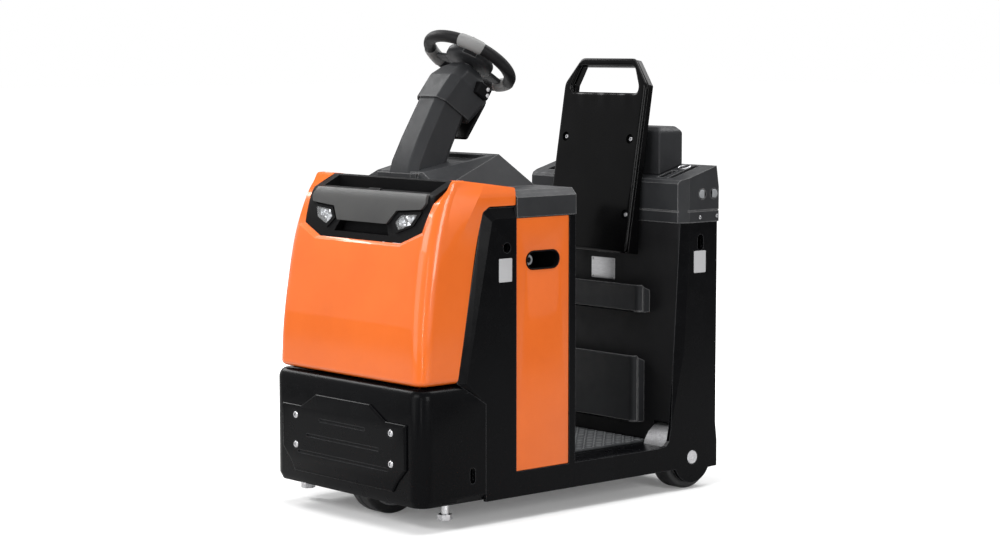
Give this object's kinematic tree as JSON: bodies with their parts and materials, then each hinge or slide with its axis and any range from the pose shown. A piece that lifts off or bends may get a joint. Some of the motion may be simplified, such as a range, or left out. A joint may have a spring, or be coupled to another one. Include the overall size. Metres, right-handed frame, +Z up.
{
  "type": "stand-on electric tow tractor",
  "caption": "Narrow stand-on electric tow tractor with an orange hood, open standing platform, leaning backrest, steered drive wheel and a stepped tow jaw at the rear.",
  "frame": {"origin": "centre of the bounding box on the floor plane", "axes": "+X to the vehicle's left, -Y to its front, +Z up"},
  "size_m": [0.7, 1.302, 1.4203],
  "materials": {
    "slate_paint": "satin textured",
    "orange_paint": "semi-gloss",
    "black_plastic": "fine grain",
    "gloss_black": "gloss",
    "lamp": "clear lens",
    "mat": "studded",
    "dark_sheet": "satin",
    "plate_silver": "brushed",
    "button_grey": "matte",
    "battery_case": "satin",
    "bright_steel": "zinc plated",
    "hub_metal": "painted",
    "drive_metal": "painted",
    "tyre": "cast polyurethane"
  },
  "bodies": {
    "chassis": {"side_plate_left": "slate_paint", "side_plate_right": "slate_paint", "side_panel_left": "orange_paint", "side_panel_right": "orange_paint", "front_bumper": "slate_paint", "bumper_plate": "slate_paint", "hood": "orange_paint", "fascia": "black_plastic", "headlamp_left": "lamp", "headlamp_right": "lamp", "dash_deck": "black_plastic", "column_lower": "black_plastic", "column_head": "black_plastic", "floor_pan": "slate_paint", "floor_mat": "mat", "front_bulkhead": "slate_paint", "rear_wall": "dark_sheet", "rear_pockets": "black_plastic", "nameplate": "plate_silver", "rear_cover": "black_plastic", "rear_box": "black_plastic", "battery": "battery_case", "rear_panel": "slate_paint", "backrest_pad": "gloss_black", "backrest_shell": "gloss_black", "tow_jaw": "slate_paint", "inch_buttons_left": "button_grey", "inch_buttons_right": "button_grey", "jack_bolt_left": "bright_steel", "jack_bolt_right": "bright_steel", "rear_axle_left": "bright_steel", "rear_axle_right": "bright_steel", "wheel_box_left": "bright_steel", "wheel_box_right": "bright_steel", "drive_bridge": "slate_paint"},
    "drive_unit": {"drive_motor": "drive_metal", "drive_gearbox": "drive_metal"},
    "drive_wheel": {"drive_tyre": "tyre", "drive_hub": "hub_metal"},
    "rear_wheel_left": {"rear_tyre_left": "tyre", "rear_hub_left": "hub_metal"},
    "rear_wheel_right": {"rear_tyre_right": "tyre", "rear_hub_right": "hub_metal"},
    "steering_wheel": {"steering_rim": "black_plastic", "steering_hub": "black_plastic"}
  },
  "joints": [
    {"name": "drive_steer", "type": "hinge", "parent": "chassis", "child": "drive_unit", "pos_m": [0, -0.484, 0.267], "axis": [0, 0, 1], "range_deg": [-90, 90]},
    {"name": "drive_roll", "type": "hinge", "parent": "drive_unit", "child": "drive_wheel", "pos_m": [0, -0.484, 0.115], "axis": [1, 0, 0], "continuous": true},
    {"name": "rear_left_roll", "type": "hinge", "parent": "chassis", "child": "rear_wheel_left", "pos_m": [0.298, 0.453, 0.1], "axis": [1, 0, 0], "continuous": true},
    {"name": "rear_right_roll", "type": "hinge", "parent": "chassis", "child": "rear_wheel_right", "pos_m": [-0.298, 0.453, 0.1], "axis": [1, 0, 0], "continuous": true},
    {"name": "steering_turn", "type": "hinge", "parent": "chassis", "child": "steering_wheel", "pos_m": [0, -0.159, 1.33], "axis": [0, 0.5592, 0.829], "range_deg": [-540, 540]}
  ],
  "couplings": [
    {"joint": "steering_turn", "follows": "drive_steer", "ratio": 6}
  ]
}
